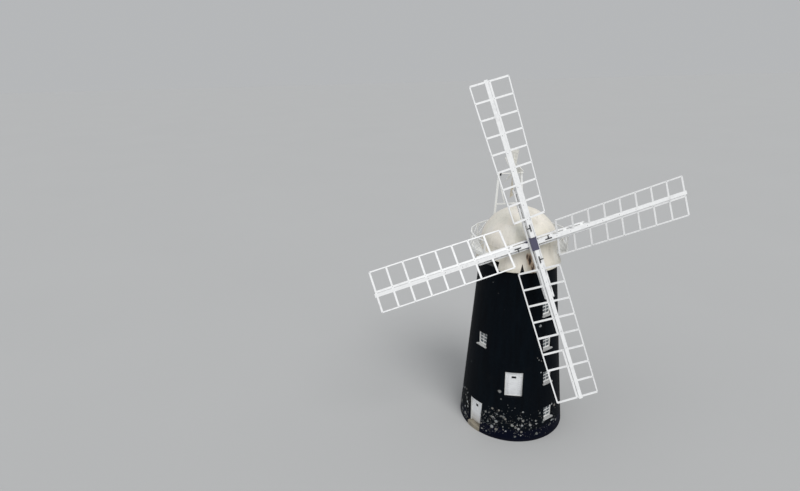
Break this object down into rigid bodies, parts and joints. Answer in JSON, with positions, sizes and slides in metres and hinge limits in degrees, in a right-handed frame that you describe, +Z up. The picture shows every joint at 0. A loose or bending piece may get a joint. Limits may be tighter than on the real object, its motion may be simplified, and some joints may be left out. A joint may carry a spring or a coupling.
{
  "type": "tower windmill",
  "caption": "Tarred brick tower windmill with a white boarded dome cap that turns, a gallery behind it, open lattice sails and a fantail.",
  "frame": {"origin": "on the ground, on the tower's axis", "axes": "+Z up, the sails face -Y, +X to the right as seen from the front"},
  "size_m": [20.1556, 10.1486, 23.8373],
  "materials": {
    "tarred_brick": "brickwork under old black tar",
    "stone": "worn paving stone",
    "sill_stone": "painted stone with dirt streaks",
    "floor_boards": "bare boards",
    "bare_timber": "old bare timber",
    "tarred_timber": "tarred timber",
    "deck_boards": "weathered painted boards",
    "cap_boards": "weathered off-white boards",
    "white_paint": "white gloss paint on timber",
    "door_paint": "white painted boards",
    "sail_paint": "white painted timber",
    "fan_paint": "faded painted boards",
    "black_iron": "black painted iron",
    "canister_iron": "blue-black painted cast iron",
    "window_glass": "old window glass"
  },
  "bodies": {
    "tower": {"wall_front": "tarred_brick", "wall_front_right": "tarred_brick", "wall_right": "tarred_brick", "wall_rear_right": "tarred_brick", "wall_rear": "tarred_brick", "wall_rear_left": "tarred_brick", "wall_left": "tarred_brick", "wall_over_door": "tarred_brick", "ground_floor": "stone", "first_floor": "floor_boards", "second_floor": "floor_boards", "third_floor": "floor_boards", "door_threshold": "stone", "door_frame": "white_paint", "door_pintles": "black_iron", "hatch_frame": "white_paint", "hatch_leaf": "door_paint", "window_frames": "white_paint", "window_glass": "window_glass", "window_sills": "sill_stone", "curb": "black_iron"},
    "door": {"door_leaf": "door_paint", "door_straps": "black_iron"},
    "cap": {"cap_ring": "tarred_timber", "cap_sheers": "bare_timber", "shaft_beams": "bare_timber", "shaft_bearings": "black_iron", "cap_skirt": "cap_boards", "cap_dome": "cap_boards", "gallery_brackets": "white_paint", "gallery_deck": "deck_boards", "gallery_posts": "white_paint", "gallery_rails": "white_paint", "fly_posts": "white_paint", "fly_rail": "white_paint", "fly_brace": "white_paint", "fan_bearings": "fan_paint"},
    "sails": {"windshaft": "black_iron", "canister": "canister_iron", "stocks": "sail_paint", "whips": "sail_paint", "lattice_upper": "sail_paint", "lattice_right": "sail_paint", "lattice_lower": "sail_paint", "lattice_left": "sail_paint", "sail_clamps": "sail_paint", "sail_cranks": "black_iron"},
    "fan": {"fan_wheel": "fan_paint", "fan_gear": "black_iron", "fan_blades": "fan_paint"}
  },
  "joints": [
    {"name": "door_hinge", "type": "hinge", "parent": "tower", "child": "door", "pos_m": [-3.03248, -1.17345, 1.2], "axis": [0, 0, 1], "range_deg": [0, 90]},
    {"name": "cap_turn", "type": "hinge", "parent": "tower", "child": "cap", "pos_m": [0, 0, 12.16], "axis": [0, 0, 1], "continuous": true},
    {"name": "sails_turn", "type": "hinge", "parent": "cap", "child": "sails", "pos_m": [0, -3.03, 14.09], "axis": [0, -0.967, 0.2546], "continuous": true},
    {"name": "fan_turn", "type": "hinge", "parent": "cap", "child": "fan", "pos_m": [0.2, 2.75, 17.24], "axis": [1, 0, 0], "continuous": true}
  ]
}
